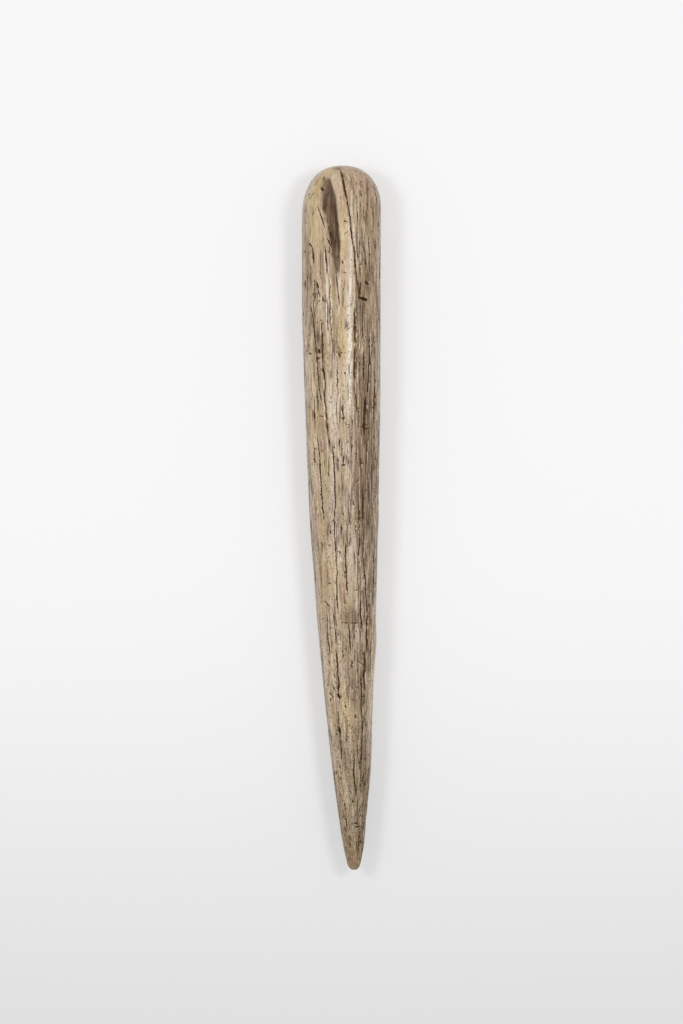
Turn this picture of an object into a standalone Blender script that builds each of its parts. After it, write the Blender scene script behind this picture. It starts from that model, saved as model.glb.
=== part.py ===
"""Bone folder: one carved and polished spike of bone, round at the head and tapering to a blunt tip.

Metres, +Z up. The tool lies along Y on the flat of its belly, with its head towards +Y and its tip
towards -Y. The origin is on the table, under the middle of the tool's length and of its head.
"""

import math

import bmesh
import bpy
from mathutils import Matrix, Vector

# Overall sizes
LENGTH = 0.220
HEAD_WIDTH = 0.0248
HEAD_THICKNESS = 0.0234
TIP_WIDTH = 0.0038
TIP_THICKNESS = 0.0036

# Lengths of the stretches along the tool
GRIP_LENGTH = 0.020  # head end to where the taper begins
HEAD_DOME_LENGTH = 0.015  # the rounded end of the head
TIP_CAP_LENGTH = 0.0026  # the rounded end of the tip

# How the bone bends: the tip leans to +X and rises off the table
SWEEP_FROM_HEAD = 0.042
TIP_SWEEP = 0.0039
LIFT_FROM_HEAD = 0.060
TIP_LIFT = 0.0080

# The flat that the tool rests on, measured into the round of the belly
BELLY_FLAT_DEPTH = 0.0008

# The natural channel in the head, open on the upper face
CHANNEL_LENGTH = 0.030
CHANNEL_WIDTH = 0.0046
CHANNEL_DEPTH = 0.0013
CHANNEL_FROM_HEAD = 0.0185  # head end to the channel's middle
CHANNEL_OFFSET = 0.0028  # towards -X from the middle of the head
CHANNEL_LEAN = math.radians(7)  # its head end leans towards -X
CHANNEL_PITCH = math.radians(3)  # its head end dips with the dome

# Shape of the curves, with no unit
DOME_SQUARENESS = 2.3
TAPER_FALL = 1.8
TAPER_FULLNESS = 0.72
SWEEP_POWER = 1.8
LIFT_POWER = 2.2

# How finely the round shapes are divided
BODY_SIDES = 44
BODY_STATIONS = 64
CHANNEL_SIDES = 20
CHANNEL_STATIONS = 24
SHARP_EDGE_ANGLE = math.radians(30)

BONE_COLOUR = (0.50, 0.40, 0.27, 1.0)
BONE_ROUGHNESS = 0.42


def share_between(value, start, end):
    """How far value has come from start to end, from 0 to 1."""
    return min(1.0, max(0.0, (value - start) / (end - start)))


def dome(share, squareness):
    """Height of a rounded end at this share of its length: 0 at its pole, 1 where it ends."""
    return (1.0 - (1.0 - share) ** squareness) ** (1.0 / squareness)


def half_size(from_head, head_size, tip_size):
    """Half the tool's width or thickness, before its two ends are rounded."""
    along_taper = share_between(LENGTH - from_head, TIP_CAP_LENGTH, LENGTH - GRIP_LENGTH)
    fullness = (1.0 - (1.0 - along_taper) ** TAPER_FALL) ** TAPER_FULLNESS
    return (tip_size + (head_size - tip_size) * fullness) / 2


def end_rounding(from_head):
    """What the rounded head and tip leave of a section, from 0 to 1."""
    at_head = dome(share_between(from_head, 0.0, HEAD_DOME_LENGTH), DOME_SQUARENESS)
    at_tip = dome(share_between(LENGTH - from_head, 0.0, TIP_CAP_LENGTH), 2.0)
    return at_head * at_tip


def section_centre(from_head):
    """Middle of the section this far from the head's end."""
    sweep = TIP_SWEEP * share_between(from_head, SWEEP_FROM_HEAD, LENGTH) ** SWEEP_POWER
    lift = TIP_LIFT * share_between(from_head, LIFT_FROM_HEAD, LENGTH) ** LIFT_POWER
    thickness = half_size(from_head, HEAD_THICKNESS, TIP_THICKNESS)
    return Vector((sweep, LENGTH / 2 - from_head, lift + thickness - BELLY_FLAT_DEPTH))


def surface_point(from_head, angle):
    """Point on the oval section this far from the head's end; the angle runs from +X towards +Z."""
    rounding = end_rounding(from_head)
    half_width = half_size(from_head, HEAD_WIDTH, TIP_WIDTH) * rounding
    half_thickness = half_size(from_head, HEAD_THICKNESS, TIP_THICKNESS) * rounding
    across = Vector((half_width * math.cos(angle), 0.0, half_thickness * math.sin(angle)))
    return section_centre(from_head) + across


def bone_material():
    """Polished bone, as one plain colour."""
    material = bpy.data.materials.new("polished_bone")
    material.use_nodes = True
    shader = material.node_tree.nodes["Principled BSDF"]
    shader.inputs["Base Color"].default_value = BONE_COLOUR
    shader.inputs["Roughness"].default_value = BONE_ROUGHNESS
    shader.inputs["Metallic"].default_value = 0.0
    return material


def new_object(name, bm, collection):
    """A mesh object made from a bmesh, with its faces pointing outwards."""
    bmesh.ops.recalc_face_normals(bm, faces=bm.faces)
    mesh = bpy.data.meshes.new(name)
    bm.to_mesh(mesh)
    bm.free()
    made = bpy.data.objects.new(name, mesh)
    collection.objects.link(made)
    return made


def make_body(collection):
    """A sphere drawn out into the spike: each of its rings becomes one section of the tool."""
    bm = bmesh.new()
    bmesh.ops.create_uvsphere(bm, u_segments=BODY_SIDES, v_segments=BODY_STATIONS, radius=1.0)
    for vert in bm.verts:
        from_head = LENGTH * (1.0 - max(-1.0, min(1.0, vert.co.z))) / 2
        vert.co = surface_point(from_head, math.atan2(vert.co.y, vert.co.x))
    body = new_object("bone_body", bm, collection)
    body.data.shade_smooth()
    body.data.set_sharp_from_angle(angle=SHARP_EDGE_ANGLE)
    body.data.materials.append(bone_material())
    return body


def make_belly_cutter(collection):
    """A slab under the table: what it meets of the belly becomes the flat that the tool rests on."""
    bm = bmesh.new()
    slab = Vector((2 * HEAD_WIDTH, 2 * LENGTH, HEAD_THICKNESS))
    place = Matrix.Translation((0.0, 0.0, -slab.z / 2)) @ Matrix.Diagonal(slab).to_4x4()
    bmesh.ops.create_cube(bm, size=1.0, matrix=place)
    return new_object("belly_cutter", bm, collection)


def make_channel_cutter(collection):
    """A long ellipsoid, centred on the head's upper surface, that sinks the channel into it."""
    bm = bmesh.new()
    half_width = half_size(CHANNEL_FROM_HEAD, HEAD_WIDTH, TIP_WIDTH) * end_rounding(CHANNEL_FROM_HEAD)
    middle = surface_point(CHANNEL_FROM_HEAD, math.acos(-CHANNEL_OFFSET / half_width))
    shape = Matrix.Diagonal((CHANNEL_WIDTH / 2, CHANNEL_LENGTH / 2, CHANNEL_DEPTH, 1.0))
    turn = Matrix.Rotation(CHANNEL_LEAN, 4, "Z") @ Matrix.Rotation(-CHANNEL_PITCH, 4, "X")
    bmesh.ops.create_uvsphere(
        bm,
        u_segments=CHANNEL_SIDES,
        v_segments=CHANNEL_STATIONS,
        radius=1.0,
        matrix=Matrix.Translation(middle) @ turn @ shape @ Matrix.Rotation(math.pi / 2, 4, "X"),
    )
    return new_object("channel_cutter", bm, collection)


def cut(body, cutter):
    """Takes the cutter's shape out of the body and hides the cutter."""
    cutter.hide_render = True
    cutter.display_type = "WIRE"
    modifier = body.modifiers.new(cutter.name, "BOOLEAN")
    modifier.operation = "DIFFERENCE"
    modifier.object = cutter


def new_collection(name):
    """An empty collection in the scene."""
    collection = bpy.data.collections.new(name)
    bpy.context.scene.collection.children.link(collection)
    return collection


def main():
    for old in list(bpy.data.objects):
        bpy.data.objects.remove(old)
    cutters = new_collection("cutters")
    body = make_body(new_collection("bone_folder"))
    cut(body, make_belly_cutter(cutters))
    cut(body, make_channel_cutter(cutters))


main()
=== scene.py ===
"""Bone folder: one spike of bone, carved round, polished by use and split by drying.

The bone lies along Y on the flat of its belly, its head towards +Y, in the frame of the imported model.
Its skin is one closed surface over two parameters: the distance from the head's end, and the turn
round the axis, counted from the top towards +X. Everything on it is written in millimetres and radians
and becomes metres in the mesh.
"""

import math

import bpy
import numpy as np
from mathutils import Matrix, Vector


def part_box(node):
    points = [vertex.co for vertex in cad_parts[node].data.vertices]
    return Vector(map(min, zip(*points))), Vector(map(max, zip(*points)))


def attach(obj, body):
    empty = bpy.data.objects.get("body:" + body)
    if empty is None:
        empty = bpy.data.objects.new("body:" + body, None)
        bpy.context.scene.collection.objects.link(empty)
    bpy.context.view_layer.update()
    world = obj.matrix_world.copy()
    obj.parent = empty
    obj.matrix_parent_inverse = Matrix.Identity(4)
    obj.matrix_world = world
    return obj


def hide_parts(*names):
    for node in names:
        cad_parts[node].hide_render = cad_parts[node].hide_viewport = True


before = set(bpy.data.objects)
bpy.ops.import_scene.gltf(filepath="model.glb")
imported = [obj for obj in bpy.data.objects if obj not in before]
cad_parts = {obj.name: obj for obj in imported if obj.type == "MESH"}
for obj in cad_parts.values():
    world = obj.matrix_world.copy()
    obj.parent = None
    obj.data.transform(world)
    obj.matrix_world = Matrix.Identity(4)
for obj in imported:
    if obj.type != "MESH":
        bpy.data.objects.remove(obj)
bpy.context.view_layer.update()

MM = 0.001

# Sizes of the bone, from the frame and as it was carved
bone_low, bone_high = (np.array(corner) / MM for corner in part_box("bone_body"))
LENGTH = bone_high[1] - bone_low[1]
HEAD_END = bone_high[1]
HEAD_WIDTH = bone_high[0] - bone_low[0]
BELLY_FLAT_DEPTH = 0.8
HEAD_THICKNESS = bone_high[2] - bone_low[2] + BELLY_FLAT_DEPTH
TIP_WIDTH = 3.8
TIP_THICKNESS = 3.6
GRIP_LENGTH = 20.0
HEAD_DOME_LENGTH = 15.0
TIP_CAP_LENGTH = 2.6
TIP_END_LENGTH = 3.6
TIP_SQUARENESS = 2.4
TIP_EASING = 2.0
SWEEP_FROM_HEAD = 42.0
TIP_SWEEP = 3.9
LIFT_FROM_HEAD = 60.0
TIP_LIFT = 8.0
HEAD_LEAN = 0.27
DOME_SQUARENESS = 2.3
TAPER_FALL = 1.8
TAPER_FULLNESS = 0.72
SWEEP_POWER = 1.8
LIFT_POWER = 2.2

# The grid that carries the skin; its columns crowd together on the upper face
RINGS = 640
COLUMNS = 152
TOP_CROWDING = 0.6
OUTLINE_STEPS = 6001

# How fast the fibres draw together over the domes, across and in height
DOME_CUT_ACROSS = 0.7
DOME_CUT_HEIGHT = 0.35

# Swellings of the tip and of the +X side: height, and where they rise and fall along the bone
TIP_SWELL = 0.14
TIP_SWELL_RISES = (203.0, 210.0)
TIP_SWELL_FALLS = (218.0, 212.0)
RIGHT_SWELL = 0.42
RIGHT_SWELL_RISES = (25.0, 85.0)
RIGHT_SWELL_FALLS = (222.0, 210.0)

# Low swellings of the flanks: from head, turn from the top, half length, half turn, height
SWELLINGS = (
    (42, -1.57, 17, 0.6, 0.2), (110, -1.57, 16, 0.6, 0.28), (140, -1.57, 9, 0.6, 0.15),
    (110, 1.57, 5, 0.6, 0.2), (149, 1.57, 5, 0.6, 0.4), (187, 1.57, 11, 0.6, 0.38),
)

# Waves left by carving and ridges along the grain: seed, step along, cells round, depth
CARVING_WAVES = (5, 17.0, 9, 0.16)
GRAIN_RIDGES = (6, 13.0, 84, 0.05)
CLEAR_OF_ENDS = 8.0

# The natural channel, a broad basin that narrows to a groove: from head, across, half width, stain
CHANNEL = (
    (4.4, -4.7, 0.5, 0.3), (5.2, -4.6, 1.2, 0.7), (8.3, -4.35, 1.85, 0.75), (11.1, -3.95, 2.1, 0.85),
    (13.8, -3.7, 2.15, 1), (16.8, -3.15, 1.75, 0.9), (19.6, -2.7, 1.7, 0.75), (22.4, -2.2, 1.5, 0.9),
    (25.2, -2.1, 1.5, 0.94), (28, -2, 1.35, 0.65), (30.8, -1.6, 1.05, 0.55), (33, -1.4, 0.75, 0.45),
    (34.2, -1.2, 0.35, 0.15),
)
CHANNEL_DEPTH = 1.25
FULL_DEPTH_HALF_WIDTH = 1.3

# Its banks, as shares of its half width: where each falls, how rough its edge is, and the stain's edge
GENTLE_BANK = (-1.2, 0.0)
STEEP_BANK = (1.25, 0.5)
GENTLE_BANK_ROUGHNESS = 0.25
STEEP_BANK_ROUGHNESS = 0.08
BANK_ROUGHNESS_STEP = 1.3
CHANNEL_STAIN_EDGE = (1.45, 0.75)
CHANNEL_STAIN = 0.85
STRAND_STAIN = 0.2
STRAND_PLACE = 0.35
STRAND_HALF_WIDTH = 0.5

# The two ridges along the top, with a worn flat between them: from head, across
LEFT_RIDGE = (
    (24.1, -5.1), (42.6, -4.3), (53.4, -4.2), (60.5, -3.5), (73.4, -3.2), (104.2, -2.6), (141.4, -1.4),
    (166.3, -0.8), (191.3, 0.5), (213.3, 2.3),
)
RIGHT_RIDGE = (
    (8.7, 2.9), (18.6, 3.2), (35.6, 2.6), (43.3, 2.2), (51.9, 2), (74.9, 1.8), (93.4, 2), (110.4, 2.6),
    (135.2, 2.9), (166.2, 3.6), (213.3, 4.5),
)
TOP_FLATNESS = 0.8
TOP_FLAT_RISES = (14.0, 32.0)
TOP_FLAT_FADES = (130.0, 190.0)
TOP_FLAT_FADING = 0.6

# The pale polish of the ridges, partly a painted highlight along them: half width and strength, and how
# it comes and goes along them
LEFT_POLISH_AND_HIGHLIGHT = (0.45, 0.28)
RIGHT_POLISH_AND_HIGHLIGHT = (0.90, 0.55)
POLISH_AND_HIGHLIGHT_HOLD = 0.7
POLISH_AND_HIGHLIGHT_FADING = 0.3
POLISH_AND_HIGHLIGHT_STEP = 4.0

# How a split opens, wanders and fades
SPLIT_STEEPNESS = 1.1
DEEPEST_SPLIT = 0.6
SPLIT_SLOPE = 0.10
SPLIT_TAPER = 2.4
SPLIT_TAPER_SHARE = 0.4
LEAST_OPENING = 0.02
SPLIT_WANDER = 0.14
WANDER_STEP = 3.5
JAG_SHARE = 0.6
JAG_STEP = 1.1
SPLIT_HOLD = 0.8
SPLIT_FADING = 0.3
FADING_STEP = 1.6
CUT_MARGIN = 1.5
SPOT_REACH = 3

# Splits that run with the grain, seen from above: half width, darkness, then each point's from head, across
HEAD_SPLITS = (
    (0.46, 0.88, 1.2, -0.9, 2.2, -0.3, 5.5, 0.5, 9.3, 1.2, 12.8, 1.8),
    (0.29, 0.7, 1, -1, 2.8, -0.2, 6.1, 0.6),
    (0.3, 0.84, 10.5, 1.5, 12.5, 1.8, 18, 2.8, 23.8, 3.4, 27.8, 4, 34, 4.6, 38.9, 5.1, 41.9, 5.6),
    (0.27, 1, 12.5, -7.9, 15.7, -6.9, 18.5, -6, 21, -5.1), (0.24, 0.9, 14, -8.8, 16.7, -9),
    (0.17, 0.55, 2, 1.4, 4.4, 2.6, 6.7, 3.5, 9.6, 3.9), (0.32, 1, 8.2, 6, 11.1, 6.3),
    (0.22, 0.79, 5.4, 7.9, 10.6, 8.2, 13.4, 7.9, 19.6, 7.6), (0.34, 1, 5, 9.5, 8.2, 10.7, 12.3, 11.3),
    (0.27, 0.93, 13.2, 9.7, 17.5, 10.1, 22.5, 9.7), (0.24, 0.86, 15.2, 5.1, 18.9, 5.2),
    (0.2, 0.62, 19.7, 6.3, 28, 6.6), (0.24, 0.86, 21.7, 8.5, 28.8, 8.8, 37.2, 8.7),
    (0.2, 0.61, 12.7, -11.2, 30.4, -11.3), (0.55, 1, 25.3, -9.4, 28.8, -9, 31.9, -8.7),
    (0.26, 0.9, 25, -5.2, 29, -5, 35.2, -4.6), (0.42, 1, 35.6, -11.3, 39, -11.2),
    (0.3, 1, 44.2, -11.8, 47.9, -11.8), (0.17, 0.55, 29.3, -9.9, 39.9, -9.4),
    (0.25, 0.85, 35.6, -8.8, 38.1, -8.5, 44.3, -8.3), (0.49, 1, 36.3, -8.1, 39.4, -7.3),
    (0.31, 0.99, 39.1, -7.4, 41.9, -6.9), (0.22, 0.77, 32.8, -2, 38, -1.4, 42.6, -0.8, 45.1, -0.5),
    (0.19, 0.55, 27.9, 11, 42.2, 11), (0.24, 0.79, 36.1, 5.8, 41.6, 5.9),
    (0.2, 0.6, 19.5, 4.6, 30.9, 5.1), (0.2, 0.6, 21.5, 7.1, 33.2, 7.4),
    (0.2, 0.86, 22.4, 10.5, 30.5, 10.7), (0.22, 0.86, 28.9, 7.7, 36, 7.9),
    (0.2, 0.72, 10.1, 9.3, 15.8, 9.4), (0.26, 0.95, 30.8, 5.7, 36.4, 5.9),
    (0.2, 0.72, 13.2, 6.9, 19.7, 7.1), (0.2, 0.66, 30.6, 9.6, 38.6, 9.8),
    (0.2, 0.5, 8.6, 4.3, 13.6, 4.8), (0.2, 0.5, 18.6, 11.3, 26.6, 11.4),
    (0.19, 0.66, 55.5, 5.4, 66.6, 5.5), (0.17, 0.4, 63.5, 7, 69, 7.1),
    (0.17, 0.33, 55.2, 10.4, 63.3, 10.5), (0.17, 0.3, 47.7, 11.3, 57.6, 11.4),
    (0.17, 0.72, 35.2, -3.9, 46.3, -3.5, 56.5, -3.2), (0.19, 0.66, 32.3, -10.9, 42.2, -10.7),
    (0.17, 0.4, 32.7, -6.3, 42.6, -5.7), (0.17, 0.61, 37.8, -8, 46.2, -7.3),
    (0.26, 0.95, 48.1, -6.3, 56.4, -5.9), (0.17, 0.61, 46.1, -8.8, 53.2, -8.3),
    (0.17, 0.61, 42.6, -4.6, 51.8, -4.3),
)
LEFT_SPLITS = (
    (0.27, 0.94, 43.2, -9.8, 47.3, -9.1, 52, -8.5, 60.3, -7.7, 65, -7.4, 69.6, -7, 74.9, -6.3),
    (0.27, 0.88, 49.9, -6.3, 53.6, -6, 60.7, -6, 63.8, -5.7, 68.1, -5.2, 72.7, -5.3, 77.4, -4.8),
    (0.44, 0.66, 75.8, -4.9, 83.2, -4.3, 88.5, -3.6, 90.7, -2.9),
    (0.19, 0.61, 67.6, -9.8, 72.3, -9.1, 74.8, -8.8), (0.44, 1, 75.7, -8.8, 79.8, -8.4),
    (0.24, 0.83, 85, -9, 88.7, -8.5, 93.1, -8.4),
    (0.29, 0.94, 83.2, -7.7, 90, -7.1, 94.6, -6.8, 99.3, -6.5, 105.5, -6, 110.7, -5.6),
    (0.17, 0.61, 85.7, -5.6, 97.1, -5.1),
    (0.25, 0.86, 85.7, -2.9, 96.2, -2.3, 99.6, -2.2, 102.4, -1.9, 106.1, -1.9, 111.7, -2.3, 116, -2.2,
     124.7, -1.6, 134, -1.5, 140.2, -1.1),
    (0.2, 0.61, 115.4, -7.5, 121.6, -7), (0.31, 0.83, 139, -4.8, 144.6, -4.5, 149.2, -4, 153.6, -3.6),
    (0.26, 0.74, 137.7, -2.8, 144.5, -2, 149.8, -1.6),
    (0.34, 0.86, 150.1, -1.8, 155.4, -1.4, 161.9, -0.9, 165, -1.1),
    (0.26, 0.61, 169.4, -1.4, 175, -0.9), (0.31, 0.76, 176.9, -0.6, 181.3, -0.2, 185.6, 0.1),
)
MIDDLE_SPLITS = (
    (0.2, 0.61, 61.4, -1.4, 69.1, -1.2, 73.7, -1.1), (0.22, 0.72, 74, -0.2, 78.6, 0.3),
    (0.24, 0.83, 84.2, -0.8, 89.4, -0.6), (0.3, 0.95, 90.1, 0.6, 93.8, 0.5),
    (0.22, 0.66, 83.3, 2.9, 95, 3.4), (0.24, 0.77, 104.9, 2.2, 112.3, 2.3),
    (0.27, 0.77, 111, -0.2, 115.7, -0.1), (0.31, 0.88, 116.9, 1.3, 122.8, 1.4, 129, 1.7, 134.3, 1.9),
    (0.2, 0.55, 118.2, 4, 129, 4.3), (0.29, 0.86, 141.7, 2.2, 146.7, 2.6, 152.6, 2.9),
    (0.24, 0.83, 142, 3.8, 147.9, 4), (0.22, 0.71, 149.1, 1.4, 151.6, 1.5),
    (0.22, 0.71, 150.1, 0.4, 154.1, 0.6), (0.33, 0.95, 153.2, 3.2, 156.9, 3.4),
    (0.26, 0.85, 157.2, 2.2, 164.7, 2.5), (0.22, 0.61, 176.8, 1.6, 180.3, 1.6),
    (0.31, 0.81, 184, 3.9, 188.7, 4, 196.3, 4.4), (0.19, 0.51, 213.3, 3.3, 216.5, 3.3),
)
RIGHT_SPLITS = (
    (0.33, 0.78, 44.4, 4.2, 51.8, 4.2, 56.8, 4), (0.36, 0.85, 56.1, 4, 68.2, 4),
    (0.27, 0.82, 67.5, 3.7, 71.5, 4.2, 78.3, 5.1),
    (0.26, 0.82, 43.1, 6.6, 46.2, 6.7, 50.2, 6.5, 56.4, 6.3),
    (0.32, 1, 52.3, 8.7, 61.5, 8.7, 67.4, 8.5, 72.4, 7.9), (0.2, 0.51, 44.4, 10.1, 56.5, 10.2),
    (0.2, 0.63, 64.7, 5.7, 73.4, 6), (0.68, 1, 71.5, 7.7, 76.4, 7.4, 81, 7.1, 84.8, 7),
    (0.17, 0.3, 60.8, 10.2, 73.2, 10.6, 83.7, 10.4), (0.19, 0.63, 74.9, 5.1, 83.2, 5.7),
    (0.22, 0.76, 85.7, 4.5, 92.5, 4.8), (0.27, 1, 90, 5.9, 95.6, 6.2),
    (0.26, 0.76, 84.4, 7.9, 91.2, 8.1), (0.22, 0.6, 85.6, 9.3, 98, 9.5),
    (0.24, 0.7, 94.3, 8.2, 105.8, 8.4), (0.22, 0.7, 88.7, 10.6, 104.2, 10.7),
    (0.31, 0.95, 100.5, 6.7, 108, 6.7, 112.9, 6.7),
    (0.27, 0.89, 104.9, 5.3, 112.3, 5.4, 118.2, 5.6, 123.4, 5.3), (0.26, 0.76, 110.4, 9.2, 119.1, 9.3),
    (0.28, 0.9, 118.5, 6.7, 124.7, 7, 132.1, 7.6, 140.2, 7.8), (0.26, 0.89, 120.1, 9.6, 124.4, 9.8),
    (0.22, 0.76, 127.5, 8.7, 139, 8.9), (0.35, 1, 134.3, 6, 138.9, 6, 144.5, 6.3),
    (0.42, 1, 139.6, 7.8, 147.7, 7.9, 151.7, 7.8), (0.23, 0.76, 147.1, 8.9, 164, 8.9),
    (0.35, 0.92, 150.5, 7, 155.5, 7.2, 163.9, 7),
    (0.32, 0.92, 158.2, 6.1, 167.6, 6.2, 175.7, 6.5, 181.3, 6.4, 188.8, 5.9),
    (0.23, 0.7, 184.1, 5.7, 189.1, 5.7), (0.35, 0.87, 187.9, 6.8, 192.9, 6.8),
    (0.25, 0.64, 195.3, 5.1, 207.3, 5.2), (0.23, 0.58, 196.7, 6.4, 201.7, 6.5),
    (0.25, 0.7, 209.5, 4.8, 214.6, 5),
)

# Short cuts and pits in any direction, in the same columns, with two points each
CUTS = (
    (0.23, 0.8, 19.8, -4.3, 20.9, -4), (0.27, 0.85, 21.7, -3.7, 22.8, -3.5),
    (0.23, 0.8, 23.8, -4.5, 24.8, -3.9), (0.25, 0.85, 24.5, -3.2, 26, -3.5),
    (0.23, 0.75, 26.9, -3.7, 28.1, -4), (0.42, 0.9, 41.7, 5.3, 42, 6.6), (0.65, 1, 42, 6.3, 42.5, 8.1),
    (0.55, 0.95, 36.9, 7.5, 37.5, 8.6), (0.19, 0.6, 37.5, 8.7, 39.6, 9.1),
    (0.46, 0.8, 7.7, -6.5, 8.5, -5.9), (0.21, 0.6, 3.9, -5.7, 5.5, -5.3),
    (0.21, 0.65, 11.1, -10.1, 9.7, -9.1), (0.21, 0.6, 9.7, -9.1, 9.1, -8.4),
    (0.25, 0.8, 14.1, -11.8, 14.9, -11.8), (0.3, 0.75, 24.8, -10.1, 25.7, -9.4),
    (0.19, 0.65, 24.6, -4.2, 26.3, -3.4), (0.17, 0.55, 25.1, -3.2, 26, -4),
    (0.23, 0.8, 18.3, 0.8, 18.6, 1.6), (0.17, 0.55, 22.5, 0.8, 21.4, 2.2),
    (0.25, 0.85, 41.5, -5.9, 42.7, -5.8), (0.25, 0.8, 42.9, -5.4, 43, -5),
    (0.25, 0.8, 30.7, 0.3, 31.3, 0.4), (0.23, 0.7, 34.1, 0.6, 34.3, 1.4),
    (0.23, 0.75, 39, 0.5, 39.6, 0.5), (0.49, 1, 57.9, -7.2, 58.7, -7),
    (0.27, 0.8, 59.1, -10.1, 58.9, -9.4), (0.23, 0.75, 61.2, -9.4, 61.3, -9),
    (0.27, 0.75, 60.5, -7.6, 60.3, -6.8), (0.27, 0.75, 65.3, 0.9, 65.2, 1.3),
    (0.3, 0.8, 59.3, -1, 60, -0.4), (0.23, 0.7, 58.8, 0, 59, 0.2), (0.21, 0.65, 58.5, -1.6, 58.8, -1.4),
    (0.25, 0.6, 72.5, -8.2, 72.3, -7.4), (0.25, 0.7, 78.3, -7, 78.4, -5.7),
    (0.32, 0.85, 79.1, 0.2, 79, 0.9), (0.17, 0.6, 81, 1.7, 80.9, 2.7), (0.25, 0.85, 82.2, 7.6, 82, 8.8),
    (0.42, 0.95, 91.5, -8.7, 92.6, -8.3), (0.23, 0.75, 93.6, -0.2, 93.4, 1.1),
    (0.25, 0.65, 98.8, 4.5, 98.2, 5.1), (0.3, 0.75, 104.9, 3.7, 105.8, 3.9),
    (0.29, 0.9, 113.8, -3.6, 114.6, -3.4), (0.27, 0.7, 117.7, -6.4, 118.6, -5.7),
    (0.23, 0.6, 130.1, -4.3, 130.2, -3.3), (0.29, 0.9, 135.9, -5.3, 137.4, -3.9),
    (0.21, 0.62, 142.4, -0.3, 142.4, 6), (0.21, 0.78, 154, 4.8, 155.5, 7.1),
    (0.25, 0.74, 158.4, -2.5, 159.3, -2.2), (0.19, 0.51, 160.4, -5, 160.3, -4.4),
    (0.3, 0.74, 162.1, -2.9, 163.2, -2.4), (0.53, 0.92, 164.6, -1.2, 165.7, -0.8),
    (0.29, 0.74, 165.1, -3.3, 165.7, -3), (0.29, 0.83, 168.1, 1.1, 168.6, 1.3),
    (0.34, 0.83, 171.1, 4.3, 171.8, 4.4), (0.19, 0.46, 171.7, 0.7, 172, 1.5),
    (0.23, 0.74, 171.6, 6.7, 172.5, 7.6), (0.49, 0.92, 175, -0.9, 176.9, -0.7),
    (0.19, 0.55, 173.9, 2.3, 174.8, 2.8), (0.19, 0.55, 175.4, 2.9, 174.7, 3.5),
    (0.27, 0.74, 185, 7, 184.7, 7.6), (0.3, 0.83, 186.9, -0.8, 187.7, -0.6),
    (0.25, 0.69, 189.1, -0.3, 189.2, 0.1), (0.27, 0.69, 198.5, 0.9, 201, 1.1),
    (0.23, 0.64, 197.3, 3.4, 198.4, 3.5), (0.32, 0.83, 203.5, 1.3, 205.7, 1.5),
    (0.29, 0.78, 206.2, 1, 207.2, 1.2), (0.34, 0.83, 204.8, 4.1, 205, 5),
    (0.29, 0.74, 206.3, 4.2, 205.9, 6.2), (0.23, 0.64, 208.9, 2.4, 210.1, 2.6),
    (0.27, 0.69, 210.5, 5.8, 211.4, 6.1), (0.34, 0.87, 211.6, 2.5, 212.4, 2.8),
    (0.23, 0.6, 217.9, 3, 218.3, 3.3),
)

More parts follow.
